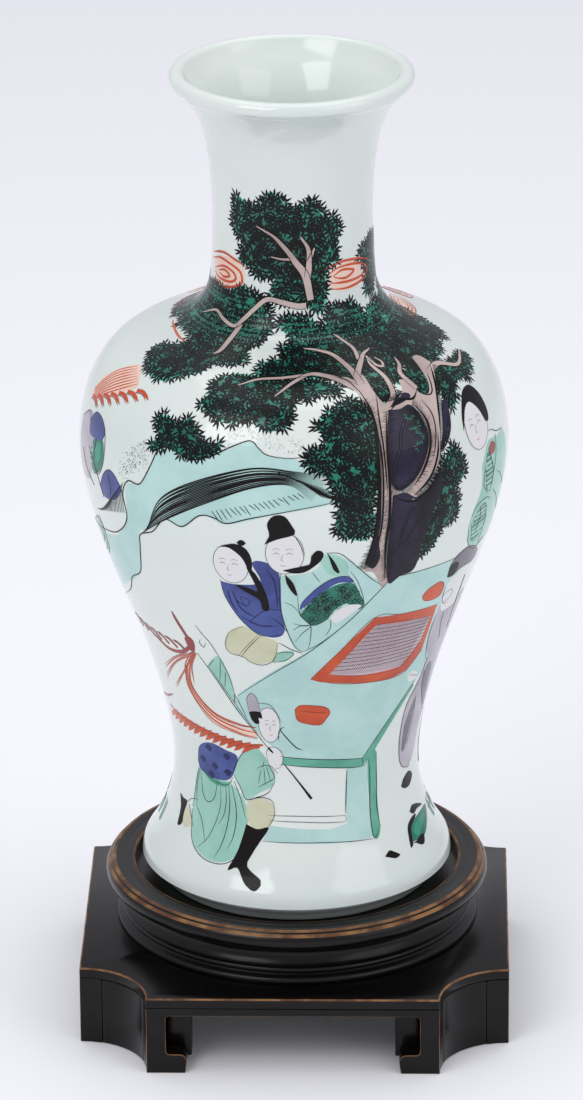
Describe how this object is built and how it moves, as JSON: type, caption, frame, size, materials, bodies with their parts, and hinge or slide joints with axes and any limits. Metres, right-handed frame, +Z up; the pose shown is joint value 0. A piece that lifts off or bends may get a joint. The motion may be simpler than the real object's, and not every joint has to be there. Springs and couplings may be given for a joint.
{
  "type": "vase",
  "caption": "Baluster porcelain vase with a waisted foot, round shoulder and rolled lip, standing in the sunk seat of a low square lacquered wooden stand with hollow corners and hooked feet.",
  "frame": {"origin": "centre of the stand's footprint on the surface it stands on", "axes": "+Z up along the vase's axis, -Y towards the front face with the painted scene, +X to the viewer's right"},
  "size_m": [0.155, 0.155, 0.3524],
  "materials": {
    "porcelain": "clear glossy glaze over white porcelain with painted enamels",
    "lacquer": "worn black lacquer on hardwood, edges rubbed to brown",
    "bare_wood": "stained, unpolished"
  },
  "bodies": {
    "stand": {"seat_disc": "lacquer", "top_board": "lacquer", "apron_front": "lacquer", "apron_right": "lacquer", "apron_back": "lacquer", "apron_left": "lacquer", "corner_cove_front_right": "lacquer", "corner_cove_back_right": "lacquer", "corner_cove_back_left": "lacquer", "corner_cove_front_left": "lacquer", "corner_block_front_right": "bare_wood", "corner_block_back_right": "bare_wood", "corner_block_back_left": "bare_wood", "corner_block_front_left": "bare_wood"},
    "vase": {"vase": "porcelain"}
  },
  "joints": [
    {"name": "vase_lift", "type": "slide", "parent": "stand", "child": "vase", "axis": [0, 0, 1], "range_m": [0, 0.06]}
  ]
}
